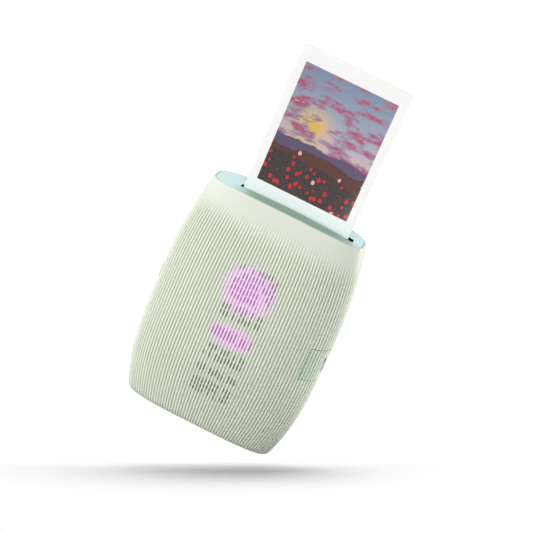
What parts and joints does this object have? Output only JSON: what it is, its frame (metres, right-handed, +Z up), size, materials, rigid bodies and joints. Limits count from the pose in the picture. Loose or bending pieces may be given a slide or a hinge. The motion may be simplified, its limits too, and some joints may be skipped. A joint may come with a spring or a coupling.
{
  "type": "compact photo printer",
  "caption": "Upright barrel-shaped pocket printer for instant film, with a ribbed case, a film slot in its top cap, a hinged film door at the back and a geared roller transport.",
  "frame": {"origin": "middle of the foot, on the surface that the printer stands on", "axes": "+Z up through the film slot, +X to the right seen from the front, +Y to the back, where the film door is"},
  "size_m": [0.0902, 0.0346, 0.201],
  "materials": {
    "sage_shell": "satin moulded plastic, sage",
    "aqua_cap": "light blue-green plastic",
    "accent_green": "satin moulded plastic, deeper green",
    "black_plastic": "fine grained black plastic",
    "dark_window": "dark clear window",
    "bright_steel": "bright steel",
    "film_paper": "glossy white film sheet",
    "gear_resin": "white gear resin",
    "brass_pinion": "turned brass",
    "clear_lens": "clear lens strip",
    "board_green": "solder-masked circuit board",
    "shield_metal": "tinned shield cans and chips",
    "battery_wrap": "battery wrap",
    "light_pink": "light guide, lit pink"
  },
  "bodies": {
    "case": {"front_shell": "sage_shell", "rear_shell": "sage_shell", "top_cap": "aqua_cap", "base_plate": "aqua_cap", "slot_liner": "black_plastic", "hinge_pin": "bright_steel", "chassis": "black_plastic", "chassis_screws": "bright_steel", "film_pack": "black_plastic", "pressure_plate": "bright_steel", "film_stack": "film_paper", "idler_pins": "bright_steel", "motor": "bright_steel", "exposure_head": "black_plastic", "head_lens": "clear_lens", "main_board": "board_green", "board_parts": "shield_metal", "battery": "battery_wrap", "light_board": "board_green", "light_guide": "light_pink", "side_board": "board_green", "charging_port": "bright_steel", "power_switch": "black_plastic"},
    "door": {"film_door": "sage_shell", "door_window": "dark_window", "door_springs": "black_plastic", "door_grip": "accent_green"},
    "lock": {"door_lock": "black_plastic"},
    "film": {"film_sheet": "film_paper"},
    "front_roller": {"front_roller": "bright_steel", "front_roller_gear": "gear_resin"},
    "rear_roller": {"rear_roller": "bright_steel", "rear_roller_gear": "gear_resin"},
    "upper_idler": {"upper_idler": "gear_resin"},
    "lower_idler": {"lower_idler": "gear_resin"},
    "pinion": {"motor_pinion": "brass_pinion"},
    "power_button": {"power_button": "sage_shell"}
  },
  "joints": [
    {"name": "door_swing", "type": "hinge", "parent": "case", "child": "door", "pos_m": [-0.0377, 0.01013, 0.06], "axis": [0, 0, 1], "range_deg": [0, 100]},
    {"name": "lock_slide", "type": "slide", "parent": "door", "child": "lock", "axis": [0, 0, 1], "range_m": [-0.003, 0], "stiffness_N_per_m": 120, "springref_m": 0.001},
    {"name": "film_slide", "type": "slide", "parent": "case", "child": "film", "axis": [0, 0, 1], "range_m": [-0.0976, 0]},
    {"name": "front_roller_spin", "type": "hinge", "parent": "case", "child": "front_roller", "pos_m": [-0.0286, -0.00524, 0.1165], "axis": [1, 0, 0], "continuous": true},
    {"name": "rear_roller_spin", "type": "hinge", "parent": "case", "child": "rear_roller", "pos_m": [-0.0286, -0.00076, 0.1165], "axis": [1, 0, 0], "continuous": true},
    {"name": "upper_idler_spin", "type": "hinge", "parent": "case", "child": "upper_idler", "pos_m": [-0.0286, -0.00076, 0.10977], "axis": [1, 0, 0], "continuous": true},
    {"name": "lower_idler_spin", "type": "hinge", "parent": "case", "child": "lower_idler", "pos_m": [-0.0286, -0.00076, 0.09929], "axis": [1, 0, 0], "continuous": true},
    {"name": "pinion_spin", "type": "hinge", "parent": "case", "child": "pinion", "pos_m": [-0.0286, -0.00076, 0.09151], "axis": [1, 0, 0], "continuous": true},
    {"name": "button_press", "type": "slide", "parent": "case", "child": "power_button", "axis": [1, 0, 0], "range_m": [0, 0.0006], "stiffness_N_per_m": 1200, "springref_m": -0.0004}
  ],
  "couplings": [
    {"joint": "rear_roller_spin", "follows": "film_slide", "rad_per_m": -476.19},
    {"joint": "front_roller_spin", "follows": "film_slide", "rad_per_m": 476.19},
    {"joint": "upper_idler_spin", "follows": "film_slide", "rad_per_m": 238.1},
    {"joint": "lower_idler_spin", "follows": "film_slide", "rad_per_m": -178.57},
    {"joint": "pinion_spin", "follows": "film_slide", "rad_per_m": 595.24}
  ]
}
